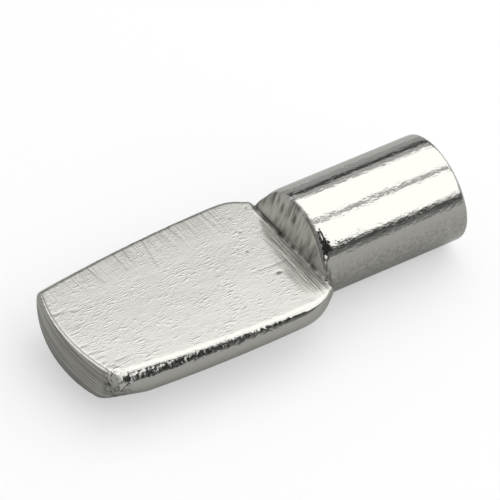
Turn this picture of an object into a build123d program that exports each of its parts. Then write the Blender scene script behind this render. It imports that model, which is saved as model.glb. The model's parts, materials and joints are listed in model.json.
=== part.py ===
from build123d import *
from math import acos, cos, hypot, pi, radians, sin, sqrt, tan
import os

# Spoon-style shelf support pin, cold forged from one length of round wire.
# One end stays round and plugs into a hole in the cabinet side. The other end is flattened
# to an oval bar, coined flat on top to carry the shelf, and trimmed to a shallow arc at the tip.
# Frame: origin on the shank's axis at the seat, where the paddle's heel stops against the panel.
# +X runs along the shank to its free end, +Z is up through the face that carries the shelf.

# Shank, the round end
shank_diameter = 6.35
shank_length = 9.63  # from the shoulder to the middle of the cut-off end
cutoff_angle = 5.0  # degrees off square, as a wire shear leaves it
cutoff_edge_radius = 0.2

# Paddle, the flattened end
paddle_length = 14.32  # from the shoulder to the tip
paddle_width = 10.06  # at its widest, just ahead of the heel
tip_width = 8.6
tip_radius = 11.5
tip_edge_radius = 0.2
oval_height = 3.04  # of the flattened wire, before its top is coined
heel_side_radius = 0.9  # of the bulged sides, where the heel starts
tip_side_radius = 1.2  # the same at the tip, where they are almost half round
heel_drop = 0.44  # of the oval's middle below the shank's axis, where the heel starts
tip_drop = 0.8  # the same at the tip, where the paddle is a little deeper
seat_rise = 0.24  # of the coined face above the shank's axis

# Shoulder and heel, between the two
heel_radius = 3.0  # of the paddle's back corners, in plan
shoulder_setback = 0.55  # of the shoulder from the seat
shoulder_draft = 3.0  # degrees the shoulder leans back from upright
shoulder_root_radius = 0.25
neck_inset = 0.1  # how far the round draws in from the seat back to the shoulder

cut_overrun = 2.0  # how far a cutting shape reaches past what it cuts

section_points = 48  # in the outline of one section

# Where the sections of the forged body stand, as shares of the stretch that they shape
blade_run_shares = (0.0, 0.5, 1.0)
heel_turn_shares = (0.0, 0.25, 0.5, 0.75)

shank_radius = shank_diameter / 2
half_width = paddle_width / 2
shoulder_x = -shoulder_setback
tip_x = shoulder_x - paddle_length
free_end_x = shoulder_x + shank_length

# The heel's arc runs from the paddle's widest place to the side of the shank, at the seat
heel_centre_y = half_width - heel_radius
heel_turn = acos((shank_radius - heel_centre_y) / heel_radius)
heel_start_x = -heel_radius * sin(heel_turn)

# The paddle's long sides are shallow curves that leave the heel square to it and end at the tip's corners
tip_corner_x = tip_x + tip_radius - sqrt(tip_radius**2 - (tip_width / 2) ** 2)
side_run = heel_start_x - tip_corner_x
side_inset = half_width - tip_width / 2


def blade_half_width(x):
    return half_width - side_inset * ((heel_start_x - x) / side_run) ** 2


def flattening(x):
    """Share of the way from round wire to flat oval: 0 at the seat, 1 from the heel's start to the tip."""
    share = min(1.0, x / heel_start_x)
    return share**2 * (3 - 2 * share)


def grown_ellipse(core_half_width, core_half_height, margin):
    """An ellipse grown outwards by an even margin: round when its core is round, a slot when it is thin."""
    wide = sqrt(core_half_width)
    tall = sqrt(core_half_height)
    points = []
    for step in range(section_points):
        turn = 2 * pi * step / section_points
        across = wide * sin(turn)
        up = tall * cos(turn)
        core = Vector(core_half_width * across, core_half_height * up) / hypot(across, up)
        outward = Vector(tall * sin(turn), wide * cos(turn)).normalized()
        points.append(core + margin * outward)
    return make_face(Spline(*points, periodic=True))


def oval_section(x, section_half_width):
    """Cross-section of the forged wire at x, upright across the shank's axis."""
    share = flattening(x)
    half_height = shank_radius + share * (oval_height / 2 - shank_radius)
    tip_share = max(0.0, (heel_start_x - x) / (heel_start_x - tip_x))
    drop = share * (heel_drop + tip_share * (tip_drop - heel_drop))
    side = heel_side_radius + min(1.0, tip_share) * (tip_side_radius - heel_side_radius)
    oval = grown_ellipse(section_half_width - side, half_height - side, side)
    return Plane.YZ.offset(x) * Pos(0, -drop) * oval


def forged_body():
    """Wire flattened to an oval: a loft for the blade, and one that gathers it into the round."""
    blade_start_x = tip_x - cut_overrun
    blade_sections = []
    for share in blade_run_shares:
        x = blade_start_x + share * (heel_start_x - blade_start_x)
        blade_sections.append(oval_section(x, blade_half_width(x)))
    heel_sections = []
    for share in heel_turn_shares:
        x = heel_start_x + heel_radius * sin(share * heel_turn)
        heel_sections.append(oval_section(x, heel_centre_y + heel_radius * cos(share * heel_turn)))
    heel_sections.append(oval_section(0, shank_radius))
    return loft(blade_sections) + loft(heel_sections)


def tip_trim():
    """What the trimming die leaves, seen from above: everything behind the tip's arc."""
    reach_y = half_width + cut_overrun
    corner_x = tip_x + tip_radius - sqrt(tip_radius**2 - reach_y**2)
    arc = ThreePointArc((corner_x, reach_y), (tip_x, 0), (corner_x, -reach_y))
    back = Polyline(
        (corner_x, -reach_y),
        (cut_overrun, -reach_y),
        (cut_overrun, reach_y),
        (corner_x, reach_y),
    )
    outline = make_face([arc, back])
    return extrude(outline, shank_diameter + cut_overrun, both=True)


def paddle():
    """Forged body coined flat on top and trimmed at the tip, with the trimmed edge broken."""
    coined = split(forged_body(), Plane.XY.offset(seat_rise), keep=Keep.BOTTOM)
    trimmed = coined & tip_trim()
    tip_face = trimmed.faces().sort_by(Axis.X)[0]
    return fillet(tip_face.edges(), tip_edge_radius)


def punch():
    """Side view of the punch that coins the seat and leaves the shoulder, right across the part."""
    top_z = shank_radius + cut_overrun
    lean = (top_z - seat_rise) * tan(radians(shoulder_draft))
    nose = Plane.XZ * make_face(
        FilletPolyline(
            (shoulder_x - shank_diameter, seat_rise),
            (shoulder_x, seat_rise),
            (shoulder_x + lean, top_z),
            (shoulder_x - shank_diameter, top_z),
            radius=shoulder_root_radius,
            close=True,
        )
    )
    return extrude(nose, shank_radius + cut_overrun, both=True)


def shank():
    """Round wire, sheared off at the free end, drawn in at the neck and punched down to the seat."""
    start_x = shoulder_x - shank_radius
    stock_end_x = free_end_x + shank_radius
    start_radius = shank_radius - neck_inset * start_x / shoulder_x
    profile = Plane.XZ * make_face(
        Polyline(
            (start_x, 0),
            (start_x, start_radius),
            (0, shank_radius),
            (stock_end_x, shank_radius),
            (stock_end_x, 0),
            close=True,
        )
    )
    wire = revolve(profile, Axis.X)
    shear = Plane((free_end_x, 0, 0), z_dir=(cos(radians(cutoff_angle)), 0, sin(radians(cutoff_angle))))
    sheared = split(wire, shear, keep=Keep.BOTTOM)
    end_face = sheared.faces().sort_by(Axis.X)[-1]
    rounded = fillet(end_face.edges(), cutoff_edge_radius)
    under_paddle = Pos(0, 0, seat_rise) * Box(
        shank_diameter + shank_length,
        shank_diameter + cut_overrun,
        shank_diameter + cut_overrun,
        align=(Align.MAX, Align.CENTER, Align.MAX),
    )
    return rounded - under_paddle - punch()


shelf_pin = paddle() + shank()

os.makedirs("parts", exist_ok=True)
export_step(shelf_pin, "parts/shelf_pin.step")
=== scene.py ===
import json
import math

import bmesh
import bpy
import numpy as np
from mathutils import Matrix, Vector, noise


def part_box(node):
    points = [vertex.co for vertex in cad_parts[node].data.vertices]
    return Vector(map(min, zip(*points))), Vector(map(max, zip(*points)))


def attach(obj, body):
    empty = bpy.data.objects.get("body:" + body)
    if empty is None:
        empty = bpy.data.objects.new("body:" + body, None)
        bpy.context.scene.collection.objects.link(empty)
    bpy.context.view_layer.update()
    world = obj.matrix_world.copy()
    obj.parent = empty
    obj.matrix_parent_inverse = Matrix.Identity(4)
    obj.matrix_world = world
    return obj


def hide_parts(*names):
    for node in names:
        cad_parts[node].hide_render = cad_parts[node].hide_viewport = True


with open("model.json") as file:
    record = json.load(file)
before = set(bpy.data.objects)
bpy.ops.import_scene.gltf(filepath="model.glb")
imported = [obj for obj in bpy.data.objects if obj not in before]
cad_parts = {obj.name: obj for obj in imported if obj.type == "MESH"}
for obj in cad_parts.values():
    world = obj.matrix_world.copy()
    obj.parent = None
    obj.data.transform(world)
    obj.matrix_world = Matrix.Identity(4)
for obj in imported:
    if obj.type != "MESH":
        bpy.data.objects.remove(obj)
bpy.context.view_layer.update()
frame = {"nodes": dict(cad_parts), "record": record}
mm = 0.001  # the scene is in metres, the sizes below in millimetres


def linear(hexColour):
    channels = [int(hexColour[i:i + 2], 16) / 255 for i in (1, 3, 5)]
    return tuple(c / 12.92 if c <= 0.04045 else ((c + 0.055) / 1.055) ** 2.4 for c in channels) + (1.0,)


def addNode(tree, kind, inputs=None, **settings):
    node = tree.nodes.new(kind)
    for name, value in settings.items():
        setattr(node, name, value)
    for name, value in (inputs or {}).items():
        if isinstance(value, bpy.types.NodeSocket):
            tree.links.new(value, node.inputs[name])
        else:
            node.inputs[name].default_value = value
    return node


def newMaterial(name):
    material = bpy.data.materials.new(name)
    material.use_nodes = True
    material.node_tree.nodes.clear()
    return material, material.node_tree


def addObject(name, mesh, material):
    obj = bpy.data.objects.new(name, mesh)
    bpy.context.scene.collection.objects.link(obj)
    mesh.materials.clear()
    mesh.materials.append(material)
    return obj


# nickel plate over forged steel: a bright, slightly warm grey that mirrors the room,
# with duller streaks where the steel was sheared or scored, dirt in its pits, painted shade in the crease
# by the shoulder, mottle partly painted as shade on the shank's lower half, and a darker near rim
pinFinish = {
    "plate": "#BCBBB6",
    "torn": "#66635D",
    # dark colour for dirt in pits, lines and corner cracks, for painted shade in the crease, and for the
    # darker near rim
    "grimeAndShade": "#2E2B28",
    "roughness": {"forged": 0.12, "drawn": 0.07, "coined": 0.2, "sheared": 0.4, "scored": 0.25},
    # grain of each surface: size along x, y and z, height, kind, how far its ridges turn to torn steel,
    # degrees it leans about x. Real grain is finer, it is drawn coarser to show
    "grain": {
        "drawn": ((0.32, 0.16, 0.16), 0.012, "FBM", 0, 0),
        # shank's lower half: its torn tone is partly real mottle, partly painted shade
        "mottleAndShade": ((0.2, 0.2, 0.2), 0, "FBM", 0.35, 0),
        "coined": ((0.4, 0.12, 0.36), 0.011, "RIDGED_MULTIFRACTAL", 0, 0),
        "jagged": ((0.18, 0.14, 0.14), 0.02, "FBM", 0, 0),
        "scored": ((0.09, 2.6, 1.0), 0.03, "FBM", 0.5, 0),
        "tipCut": ((4.0, 6.0, 0.13), 0.012, "FBM", 0.7, 4),
        "shoulderCut": ((1.0, 0.24, 2.2), 0.025, "FBM", 1.0, 16),
    },
    "grainDetail": 2.5,
    "streaks": (0.38, 0.62),  # height of the grain where a torn streak starts, and where it is full
}

nickelPlate, tree = newMaterial("nickel_plate_on_forged_steel")
place = addNode(tree, "ShaderNodeTexCoord")
streakStart, streakFull = pinFinish["streaks"]
relief = 0.0
torn = 0.0
for name, (sizes, height, kind, tone, lean) in pinFinish["grain"].items():
    weight = addNode(tree, "ShaderNodeAttribute", attribute_name=name).outputs["Fac"]
    stretch = addNode(tree, "ShaderNodeMapping", {
        "Vector": place.outputs["Object"],
        "Rotation": (math.radians(lean), 0, 0),
        "Scale": [size * mm for size in sizes],
    }, vector_type="TEXTURE")
    grain = addNode(tree, "ShaderNodeTexNoise", {
        "Vector": stretch.outputs["Vector"],
        "Scale": 1.0,
        "Detail": pinFinish["grainDetail"],
    }, noise_type=kind).outputs[0]
    weighted = addNode(tree, "ShaderNodeMath", {0: grain, 1: weight}, operation="MULTIPLY")
    raised = addNode(tree, "ShaderNodeMath", {
        0: weighted.outputs[0],
        1: height,
        2: relief,
    }, operation="MULTIPLY_ADD")
    relief = raised.outputs[0]
    if tone:
        streaks = addNode(tree, "ShaderNodeMapRange", {
            "Value": grain,
            "From Min": streakStart,
            "From Max": streakFull,
            "To Max": tone,
        })
        dimmed = addNode(tree, "ShaderNodeMath", {
            0: streaks.outputs[0],
            1: weight,
            2: torn,
        }, operation="MULTIPLY_ADD")
        torn = dimmed.outputs[0]
bumps = addNode(tree, "ShaderNodeBump", {"Height": relief, "Distance": mm})
streaked = addNode(tree, "ShaderNodeMixRGB", {
    "Fac": torn,
    "Color1": linear(pinFinish["plate"]),
    "Color2": linear(pinFinish["torn"]),
})
dirtied = addNode(tree, "ShaderNodeMixRGB", {
    "Fac": addNode(tree, "ShaderNodeAttribute", attribute_name="grimeAndShade").outputs["Fac"],
    "Color1": streaked.outputs["Color"],
    "Color2": linear(pinFinish["grimeAndShade"]),
})
surface = addNode(tree, "ShaderNodeBsdfPrincipled", {
    "Base Color": dirtied.outputs["Color"],
    "Metallic": 1.0,
    "Roughness": addNode(tree, "ShaderNodeAttribute", attribute_name="finishRoughness").outputs["Fac"],
    "Normal": bumps.outputs["Normal"],
})
addNode(tree, "ShaderNodeOutputMaterial", {"Surface": surface.outputs["BSDF"]})
print("finish made")

# the pin itself: an even, dense skin over the solid, then the marks that forging left in it
pinShape = {
    "meshStep": 0.084,  # between neighbouring points
    "weldGap": 0.0001,  # between points of the solid that count as one
    "smoothShare": 0.5,
    "smoothPasses": 6,
    "shoulderX": -0.55,  # of the foot of the shoulder
    # stretch of the shank made truly round: from the seat, short of its end, how far off it may be
    "roundShank": (0.15, 0.9, 0.05),
    # part of the coined face made truly flat: gap to the shoulder, how level, how far off it may be
    "flatSeat": (0.3, 0.99, 0.02),
    "cornerEase": (0.25, 0.25, 0.2),  # how far the tip's low near corner is worn inwards, along x, y and z
    "shoulderFlare": 0.5,  # how far the punch spread the neck sideways at the foot of the shoulder
    "lipFall": 0.4,  # of the heel's lip beside the neck, from the shoulder back to the seat
    # unevenness: size along x, y and z, height, seed
    "waviness": ((3.0, 3.0, 3.0), 0.006, 3.1),
    "coinedCrackle": ((0.7, 0.4, 0.4), 0.0012, 7.7),
    "drawnCrackle": ((0.45, 0.28, 0.28), 0.0016, 1.3),
    "jaggedSides": ((0.17, 0.25, 0.25), 0.019, 5.9),
    "rimChips": ((0.22, 0.22, 0.22), 0.02, 2.2),
    "cornerChips": ((0.28, 0.28, 0.28), 0.05, 9.4),
    # patchiness: mean share, least share, size along x, y and z, swing about the mean, seed
    "wrinklePatches": (0.6, 0.15, (1.3, 1.3, 1.3), 0.9, 4.6),
    "shoulderPatches": (0.65, 0.1, (1.1, 0.7, 0.9), 1.4, 8.2),
    # painted shade in the crease by the shoulder, darker in patches
    "creaseShade": (0.75, 0, (0.5, 0.5, 0.5), 0.6, 3.7),
    # lines that the dies left, most from the far edge or the tip inwards: both ends, half-width, depth
    "dieLines": [
        ((-10.95, 4.2), (-10.78, 2.64), 0.06, 0.012),
        ((-9.2, 4.5), (-9.18, 2.88), 0.06, 0.012),
        ((-8.6, 4.6), (-8.62, 3.4), 0.05, 0.008),
        ((-7.25, 4.7), (-7.63, 2.21), 0.06, 0.01),
        ((-5.55, 4.9), (-5.36, 3.57), 0.06, 0.012),
        ((-4.7, 4.9), (-4.62, 3.9), 0.05, 0.008),
        ((-3.32, 4.9), (-3.25, 3.44), 0.06, 0.012),
        ((-1.4, -1.0), (-3.6, -0.9), 0.05, 0.007),
        ((-14.5, 1.86), (-13.7, 1.78), 0.05, 0.012),
        ((-13.5, 1.63), (-13.0, 1.42), 0.05, 0.008),
        ((-13.9, 0.5), (-13.4, 0.5), 0.05, 0.008),
        ((-14.75, -1.0), (-14.1, -1.05), 0.05, 0.012),
        ((-14.75, -1.7), (-13.8, -1.76), 0.05, 0.012),
        ((-14.6, -2.17), (-13.8, -2.2), 0.05, 0.012),
        ((-14.5, -2.63), (-14.0, -2.66), 0.05, 0.01),
        ((-13.5, -2.9), (-12.7, -2.9), 0.05, 0.008),
    ],
    "dieLineFade": 0.6,  # share of a line's depth that is lost at its inner end
    "dieLineGrime": 0.35,
    # pits: place, half-length along x, half-width along y, depth
    "pits": [
        ((-1.0, 3.7), 0.05, 0.06, 0.015),
        ((-2.2, 3.46), 0.045, 0.045, 0.015),
        ((-2.36, 2.22), 0.045, 0.08, 0.02),
        ((-2.89, 0.72), 0.07, 0.05, 0.02),
        ((-3.21, 1.11), 0.045, 0.045, 0.012),
        ((-2.35, -1.6), 0.15, 0.07, 0.03),
    ],
    # clean scratches down the shoulder: both ends along y and z, half-width
    "scratches": [
        ((0.75, 2.8), (0.78, 1.8), 0.05),
        ((0.5, 2.9), (0.59, 1.9), 0.05),
    ],
    # fine groove along the near border of the coined face, from behind the tip to the heel
    "hairline": {
        "halfWidth": 0.06,
        "depth": 0.012,
        "behindTip": 0.9,
        "endX": -1.5,
        "step": 0.1,
        "level": 0.8,  # least upward facing
        "coinedShare": 0.5,  # at the border
    },
    "tipJag": 0.3,  # share of the sides' raggedness that is left at the tip
    "combShare": 0.5,  # of the comb marks towards the far edge, beside the score lines
    "cornerBlank": 0.8,  # share of the trimmed lines that the chipped corner hides
    "cornerCracks": (0.14, 0.05),  # share of the chips' height where dirt starts, and where it is full
    "cornerGrime": 0.95,
    # how dark the neck's rim is made on its near side
    "rimNearDark": 0.6,
    "scoredLevel": 0.6,  # least upward facing of a scored surface
    "faintest": 0.01,  # weight below which unevenness is left out
    "cornerPlace": (0.7, -3.95),  # middle of the chipped corner: behind the tip, and along y
    "rimPlace": (0.05, 0.1),  # the neck's rim: inside the shank's radius, and past the shoulder
    # hard limits: how far from the tip, the free end, the shoulder or the seat a mark can lie
    "reach": {"tipCut": 2.5, "endCut": 1.0, "shoulderCut": 0.4, "shoulderFoot": 0.02, "crease": 0.5},
    # where each tool worked, a product of fades: what is measured, where it starts, where it is full
    "zones": {
        "coined": [("up", 0.95, 0.985), ("offSeat", 0.06, 0.03)],
        "drawn": [("x", -0.45, 0.0), ("endward", 0.8, 0.5)],
        # lower half of the shank, where mottle and painted shade darken it
        "mottleAndShade": [("z", 0.9, 0.0)],
        "tipCut": [("tipward", 0.6, 0.8)],
        "shoulderCut": [("tipward", 0.2, 0.5)],
        "endCut": [("endward", 0.7, 0.9)],
        "sides": [("aside", 2.6, 3.2)],
        "jagged": [("x", -3.0, -5.5), ("aboveSeat", -1.0, -0.75)],
        "awayFromTip": [("x", -13.5, -8.0)],
        "scored": [("offSeat", 0.2, 0.1), ("x", -1.9, -1.3), ("y", 1.8, 0.4), ("y", -4.5, -4.0)],
        "combed": [("y", 1.8, 4.2), ("x", -2.0, -3.0)],
        "rim": [("offRim", 0.22, 0.1), ("offNeck", 0.3, 0.15), ("aboveSeat", 0.1, 0.5), ("y", 1.2, 0.2)],
        "rimNearDark": [("rim", 0.6, 1.0), ("y", -0.4, -1.2)],
        "corner": [("offCorner", 0.9, 0.5), ("z", -2.0, -1.5)],
        "crease": [("tipward", 0.1, 0.3), ("tipward", 0.985, 0.9), ("aboveSeat", 0.5, 0.3)],
        "lip": [("x", -0.6, -0.05), ("x", 0.35, 0.05), ("aside", 2.95, 3.15), ("z", -0.8, 0.1)],
        "flare": [
            ("x", 0.05, -0.45), ("x", -1.1, -0.6),
            ("aside", 2.2, 3.0), ("aside", 4.3, 3.1),
            ("z", 1.7, 0.3), ("z", -1.0, 0.0),
        ],
        "worn": [("pastTip", 2.8, 0.6), ("y", -2.6, -4.2), ("z", -0.3, -1.6)],
    },
}

mounts = {m["name"]: m for m in frame["record"]["mounts"]}
shankRadius = mounts["shank"]["dims"]["r_mm"]
seatZ = mounts["shelf_seat"]["pos_m"][2] / mm
low, high = (np.array(corner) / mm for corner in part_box("shelf_pin"))

solid = frame["nodes"]["shelf_pin"].data.copy()
solid.transform(Matrix.Scale(1 / mm, 4))
shell = bmesh.new()
shell.from_mesh(solid)
bmesh.ops.remove_doubles(shell, verts=shell.verts, dist=pinShape["weldGap"])
shell.to_mesh(solid)
shell.free()
draft = bpy.data.objects.new("pin_draft", solid)
bpy.context.scene.collection.objects.link(draft)
skin = draft.modifiers.new("even skin", "REMESH")
skin.mode = "VOXEL"
skin.voxel_size = pinShape["meshStep"]
ease = draft.modifiers.new("ease", "SMOOTH")
ease.factor = pinShape["smoothShare"]
ease.iterations = pinShape["smoothPasses"]
bpy.context.view_layer.update()
evaluated = draft.evaluated_get(bpy.context.evaluated_depsgraph_get())
pinMesh = bpy.data.meshes.new_from_object(evaluated)
pinMesh.name = "shelf_pin_skin"
bpy.data.objects.remove(draft)

count = len(pinMesh.vertices)
points = np.empty(count * 3)
normals = np.empty(count * 3)
pinMesh.vertices.foreach_get("co", points)
pinMesh.vertices.foreach_get("normal", normals)
points = points.reshape(-1, 3)
normals = normals.reshape(-1, 3)
nx = normals[:, 0]
nz = normals[:, 2]

# the drawn wire is truly round and the coined face truly flat
offAxis = np.hypot(points[:, 1], points[:, 2])
fromSeat, shortOfEnd, slack = pinShape["roundShank"]
onShank = (points[:, 0] > fromSeat) & (points[:, 0] < high[0] - shortOfEnd)
onShank &= abs(offAxis - shankRadius) < slack
points[onShank, 1:] *= (shankRadius / offAxis[onShank])[:, None]
gap, level, slack = pinShape["flatSeat"]
onSeat = (points[:, 0] < pinShape["shoulderX"] - gap) & (nz > level)
onSeat &= abs(points[:, 2] - seatZ) < slack
points[onSeat, 2] = seatZ

# what the zones are measured by: places in mm, and parts of the outward direction
x, y, z = points.T.copy()
pastTip = x - low[0]
pastShoulder = x - pinShape["shoulderX"]
aboveSeat = z - seatZ
cornerPast, cornerY = pinShape["cornerPlace"]
rimInset, rimPast = pinShape["rimPlace"]
measures = {
    "x": x,
    "y": y,
    "z": z,
    "aside": abs(y),
    "pastTip": pastTip,
    "aboveSeat": aboveSeat,
    "offSeat": abs(aboveSeat),
    "offRim": abs(offAxis - shankRadius + rimInset),
    "offNeck": abs(pastShoulder - rimPast),
    "offCorner": np.hypot(pastTip - cornerPast, y - cornerY),
    "up": nz,
    "endward": nx,
    "tipward": -nx,
}


def ramp(values, start, full):
    return np.clip((values - start) / (full - start), 0, 1)


def zone(name):
    weight = np.ones(count)
    for measure, start, full in pinShape["zones"][name]:
        weight *= ramp(measures[measure], start, full)
    return weight


# smooth random rises and dips of the given height
def uneven(weight, sizes, height, seed):
    swell = np.zeros(count)
    on = weight > pinShape["faintest"]
    swell[on] = [noise.noise(p) for p in (points[on] / sizes + seed).tolist()]
    return swell * weight * height


def patchy(weight, mean, least, sizes, swing, seed):
    return np.clip(mean + uneven(weight, sizes, swing, seed), least, 1)


# share of the way along a line and distance from it, seen along one axis
def offLine(first, second, start, end):
    runA = end[0] - start[0]
    runB = end[1] - start[1]
    along = ((first - start[0]) * runA + (second - start[1]) * runB) / (runA ** 2 + runB ** 2)
    along = np.clip(along, 0, 1)
    return along, np.hypot(first - start[0] - along * runA, second - start[1] - along * runB)


def groove(apart, halfWidth):
    return np.exp(-(apart / halfWidth) ** 2)


# which part of the skin each tool made, 0 to 1
reach = pinShape["reach"]
onPaddle = x < 0
coined = zone("coined") * onPaddle
drawn = zone("drawn")
# mottle with painted shade on the shank's lower half only
mottleAndShade = drawn * zone("mottleAndShade")
tipCut = zone("tipCut") * (pastTip < reach["tipCut"])
endCut = zone("endCut") * (high[0] - x < reach["endCut"])
shoulderCut = zone("shoulderCut") * (pastShoulder > -reach["shoulderCut"])
shoulderCut *= aboveSeat > reach["shoulderFoot"]
sides = zone("sides") * (1 - coined) * (1 - tipCut) * onPaddle
jagged = sides * zone("jagged")
jagged *= pinShape["tipJag"] + (1 - pinShape["tipJag"]) * zone("awayFromTip")
scored = zone("scored") * (nz > pinShape["scoredLevel"]) * onPaddle
combed = coined * zone("combed")
rim = zone("rim")
measures["rim"] = rim
corner = zone("corner")
tipCut *= 1 - pinShape["cornerBlank"] * corner
sheared = np.maximum(tipCut, endCut)
shoulderPatches = patchy(shoulderCut, *pinShape["shoulderPatches"])
patches = patchy(coined, *pinShape["wrinklePatches"])

# small forms: the fallen lip, the spread foot of the shoulder and the worn corner
points[:, 2] -= pinShape["lipFall"] * zone("lip")
points[:, 1] += pinShape["shoulderFlare"] * zone("flare") * np.sign(y)
worn = zone("worn")
worn *= worn * (3 - 2 * worn)  # eases in and out
points += worn[:, None] * pinShape["cornerEase"]

# unevenness, lines and pits, the dirt in them, painted shade in the crease, and a darker near rim
rise = uneven(1 - drawn, *pinShape["waviness"])
rise += uneven(coined, *pinShape["coinedCrackle"])
rise += uneven(drawn, *pinShape["drawnCrackle"])
rise += uneven(jagged, *pinShape["jaggedSides"])
rise += uneven(rim, *pinShape["rimChips"])
chipSizes, chipHeight, chipSeed = pinShape["cornerChips"]
chips = uneven(corner, chipSizes, 1, chipSeed)
rise += chipHeight * chips
grimeAndShade = np.zeros(count)
for start, end, halfWidth, depth in pinShape["dieLines"]:
    along, apart = offLine(x, y, start, end)
    line = (1 - pinShape["dieLineFade"] * along) * coined * groove(apart, halfWidth)
    rise -= depth * line
    grimeAndShade = np.maximum(grimeAndShade, pinShape["dieLineGrime"] * line)
for (pitX, pitY), halfLength, halfWidth, depth in pinShape["pits"]:
    pit = coined * groove(x - pitX, halfLength) * groove(y - pitY, halfWidth)
    rise -= depth * pit
    grimeAndShade = np.maximum(grimeAndShade, pit)
clean = np.zeros(count)
for start, end, halfWidth in pinShape["scratches"]:
    along, apart = offLine(y, z, start, end)
    clean = np.maximum(clean, groove(apart, halfWidth))
# painted shade: the crease by the shoulder darkened in patches
crease = zone("crease") * (abs(pastShoulder) < reach["crease"])
grimeAndShade = np.maximum(grimeAndShade, crease * patchy(crease, *pinShape["creaseShade"]))
cracks = corner * ramp(abs(chips), *pinShape["cornerCracks"]) * (1 - coined)
grimeAndShade = np.maximum(grimeAndShade, pinShape["cornerGrime"] * cracks)
# the neck's rim darker on its near side
grimeAndShade = np.maximum(grimeAndShade, pinShape["rimNearDark"] * zone("rimNearDark"))

hairline = pinShape["hairline"]
stations = np.arange(low[0] + hairline["behindTip"], hairline["endX"], hairline["step"])
onFace = coined > hairline["coinedShare"]
border = [y[onFace & (abs(x - station) < hairline["step"])].min() for station in stations]
offBorder = abs(y - np.interp(x, stations, border))
alongBorder = (nz > hairline["level"]) & (x > stations[0]) & (x < stations[-1])
rise -= hairline["depth"] * groove(offBorder, hairline["halfWidth"]) * alongBorder
points += normals * rise[:, None]

roughness = np.full(count, pinFinish["roughness"]["forged"])
finishes = {"drawn": drawn, "coined": coined, "sheared": sheared + shoulderCut, "scored": scored}
for name, weight in finishes.items():
    roughness += weight * (pinFinish["roughness"][name] - roughness)

pinMesh.vertices.foreach_set("co", (points * mm).ravel())
pinMesh.update()
pinMesh.shade_smooth()
combMarks = pinShape["combShare"] * combed
paint = {
    "grimeAndShade": grimeAndShade,
    "finishRoughness": roughness,
    "drawn": drawn,
    "mottleAndShade": mottleAndShade,
    "coined": coined * patches * (1 - combMarks) * (1 - scored),
    "jagged": np.clip(jagged + rim + corner, 0, 1),
    "scored": np.maximum(scored, combMarks),
    "tipCut": tipCut,
    "shoulderCut": shoulderCut * shoulderPatches * (1 - clean),
}
for name, values in paint.items():
    layer = pinMesh.attributes.new(name, "FLOAT", "POINT")
    layer.data.foreach_set("value", values.astype(np.float32))
pin = addObject("plated_pin", pinMesh, nickelPlate)
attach(pin, "root")
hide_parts("shelf_pin")
print("pin skinned:", count, "points,", len(pinMesh.polygons), "faces")

# the room: two softboxes high up past the shank's end, a pale table, and cards that only the metal mirrors
room = {
    "sky": 0.7,
    "table": ("#F3F3F3", 4000),  # colour and width
    "washOut": 0.45,  # how far the table's shadow fades to white in the picture
    # painted reflection: this grey sheet is seen only in the metal, where it stands in for shade on the
    # table
    "shade_sheet": ("#C2C2C0", 300),  # grey sheet around the pin: colour and width
    "shadeSheetGap": 0.02,  # above the table
    "paperRoughness": 0.9,
    "softboxes": {  # edges across the table, brightness
        "overhead_softbox": (-66, 277, 1.3),
        "near_softbox": (-923, -117, 1.3),
    },
    "softboxHeight": 300,
    "softboxSpan": (20, 620),
    # upright cards: place across the table, both ends along it, lowest and highest edge in degrees up
    # from the pin, brightness of both edges
    "cards": {
        "far_card": (500, (-1200, 1200), 0, 22, 0.5, 0.5),
        "far_trim": (500, (-1200, 1200), 22, 34, 0.1, 0.1),
        "near_strip": (-40, (0, 70), -4, 14, 0.4, 0.02),
    },
    # dark card that the paddle's near side mirrors, cut away where the neck would too:
    # place across the table, corners along x and z, brightness
    "side_card": (-100, [(2, -8), (50, -8), (49, 25), (42, 152), (14, 152), (14, 60), (2, 60)], 0.03),
    # pale card high over the far left, which the shoulder picks up: corners along x and y, brightness
    "left_card": ([(-700, 100), (-100, 100), (-100, 700), (-700, 700)], 1.6),
}


def flatSheet(name, corners, material):
    mesh = bpy.data.meshes.new(name)
    mesh.from_pydata([Vector(c) * mm for c in corners], [], [tuple(range(len(corners)))])
    sheet = addObject(name, mesh, material)
    return sheet


def squareCorners(width, height):
    half = width / 2
    return [(-half, -half, height), (half, -half, height), (half, half, height), (-half, half, height)]


# matt paper or grey sheet: an even tone without a shine. With washOut its shadow looks paler than it is
def mattMaterial(name, hexColour, washOut=0):
    material, tree = newMaterial(name)
    matt = addNode(tree, "ShaderNodeBsdfPrincipled", {
        "Base Color": linear(hexColour),
        "Roughness": room["paperRoughness"],
    })
    surface = matt.outputs["BSDF"]
    if washOut:
        ray = addNode(tree, "ShaderNodeLightPath")
        seen = addNode(tree, "ShaderNodeMath", {
            0: ray.outputs["Is Camera Ray"],
            1: ray.outputs["Is Glossy Ray"],
        }, operation="MAXIMUM")
        share = addNode(tree, "ShaderNodeMath", {0: seen.outputs[0], 1: washOut}, operation="MULTIPLY")
        white = addNode(tree, "ShaderNodeEmission", {"Color": (1, 1, 1, 1), "Strength": 1.0})
        mixed = addNode(tree, "ShaderNodeMixShader", {0: share.outputs[0], 1: surface, 2: white.outputs[0]})
        surface = mixed.outputs[0]
    addNode(tree, "ShaderNodeOutputMaterial", {"Surface": surface})
    return material


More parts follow.
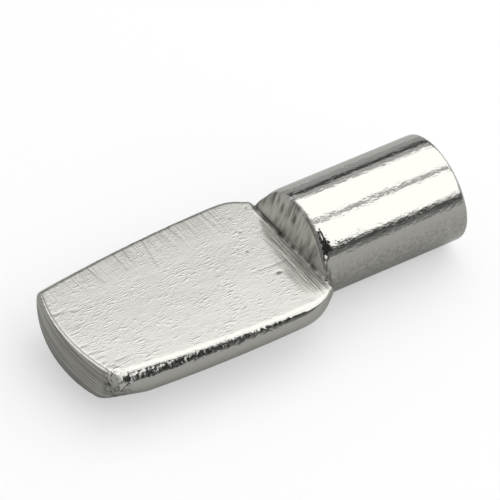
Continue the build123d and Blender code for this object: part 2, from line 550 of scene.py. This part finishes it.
# lit paper: a flat patch of light without a grain, even or fading upwards
def cardMaterial(name, bottom, top):
    material, tree = newMaterial("lit_paper_" + name)
    strength = bottom
    if bottom != top:
        along = addNode(tree, "ShaderNodeTexCoord")
        upright = addNode(tree, "ShaderNodeSeparateXYZ", {"Vector": along.outputs["Generated"]})
        fade = addNode(tree, "ShaderNodeMapRange", {
            "Value": upright.outputs["Z"],
            "To Min": bottom,
            "To Max": top,
        })
        strength = fade.outputs["Result"]
    glow = addNode(tree, "ShaderNodeEmission", {"Color": (1, 1, 1, 1), "Strength": strength})
    addNode(tree, "ShaderNodeOutputMaterial", {"Surface": glow.outputs["Emission"]})
    return material


def onlyMirrored(sheet):
    sheet.visible_camera = False
    sheet.visible_diffuse = False
    sheet.visible_shadow = False


floorZ = points[:, 2].min()
tableColour, tableWidth = room["table"]
tablePaper = mattMaterial("white_table_paper", tableColour, room["washOut"])
flatSheet("table", squareCorners(tableWidth, floorZ), tablePaper)
# painted reflection: a grey sheet that only the metal sees, so its lower sides mirror grey as if the table
# there were in shade
shadeSheetColour, shadeSheetWidth = room["shade_sheet"]
greyShadeSheet = mattMaterial("grey_shade_sheet", shadeSheetColour)
onlyMirrored(flatSheet("shade_sheet", squareCorners(shadeSheetWidth, floorZ + room["shadeSheetGap"]), greyShadeSheet))

for name, (cardY, (x0, x1), bottom, top, bottomGlow, topGlow) in room["cards"].items():
    z0, z1 = (abs(cardY) * math.tan(math.radians(a)) for a in (bottom, top))
    corners = [(x0, cardY, z0), (x1, cardY, z0), (x1, cardY, z1), (x0, cardY, z1)]
    onlyMirrored(flatSheet(name, corners, cardMaterial(name, bottomGlow, topGlow)))

cardY, outline, brightness = room["side_card"]
corners = [(cardX, cardY, cardZ) for cardX, cardZ in outline]
onlyMirrored(flatSheet("side_card", corners, cardMaterial("side_card", brightness, brightness)))
outline, brightness = room["left_card"]
corners = [(cardX, cardY, room["softboxHeight"]) for cardX, cardY in outline]
onlyMirrored(flatSheet("left_card", corners, cardMaterial("left_card", brightness, brightness)))

nearX, farX = room["softboxSpan"]
for name, (y0, y1, brightness) in room["softboxes"].items():
    lamp = bpy.data.lights.new(name, "AREA")
    lamp.shape = "RECTANGLE"
    lamp.size = (farX - nearX) * mm
    lamp.size_y = (y1 - y0) * mm
    lamp.energy = brightness * math.pi * lamp.size * lamp.size_y
    softbox = bpy.data.objects.new(name, lamp)
    bpy.context.scene.collection.objects.link(softbox)
    softbox.location = Vector(((nearX + farX) / 2, (y0 + y1) / 2, room["softboxHeight"])) * mm
    softbox.visible_camera = False

world = bpy.data.worlds.new("studio_sky")
bpy.context.scene.world = world
world.use_nodes = True
world.node_tree.nodes.clear()
sky = addNode(world.node_tree, "ShaderNodeBackground", {"Color": (1, 1, 1, 1), "Strength": room["sky"]})
addNode(world.node_tree, "ShaderNodeOutputWorld", {"Surface": sky.outputs["Background"]})
print("room lit")

# the camera: angles in degrees, lengths in mm
viewFrom = {
    "azimuth": -34.6,
    "elevation": 41.75,
    "roll": 2.04,
    "distance": 233.7,
    "aim": (-2.83, 0.52, 0.44),
    "lens": 311.8,
    "sensor": 36,
    "nearLimit": 10,
}
azimuth, elevation = (math.radians(viewFrom[k]) for k in ("azimuth", "elevation"))
flat = math.cos(elevation)
outward = Vector((math.sin(azimuth) * flat, -math.cos(azimuth) * flat, math.sin(elevation)))
lens = bpy.data.cameras.new("product_camera")
lens.sensor_width = viewFrom["sensor"]
lens.lens = viewFrom["lens"]
lens.clip_start = viewFrom["nearLimit"] * mm
camera = bpy.data.objects.new("product_camera", lens)
bpy.context.scene.collection.objects.link(camera)
turn = outward.to_track_quat("Z", "Y").to_matrix() @ Matrix.Rotation(math.radians(viewFrom["roll"]), 3, "Z")
stand = (Vector(viewFrom["aim"]) + outward * viewFrom["distance"]) * mm
camera.matrix_world = Matrix.Translation(stand) @ turn.to_4x4()
bpy.context.scene.camera = camera
bpy.context.scene.view_settings.view_transform = "Standard"
print("camera set")
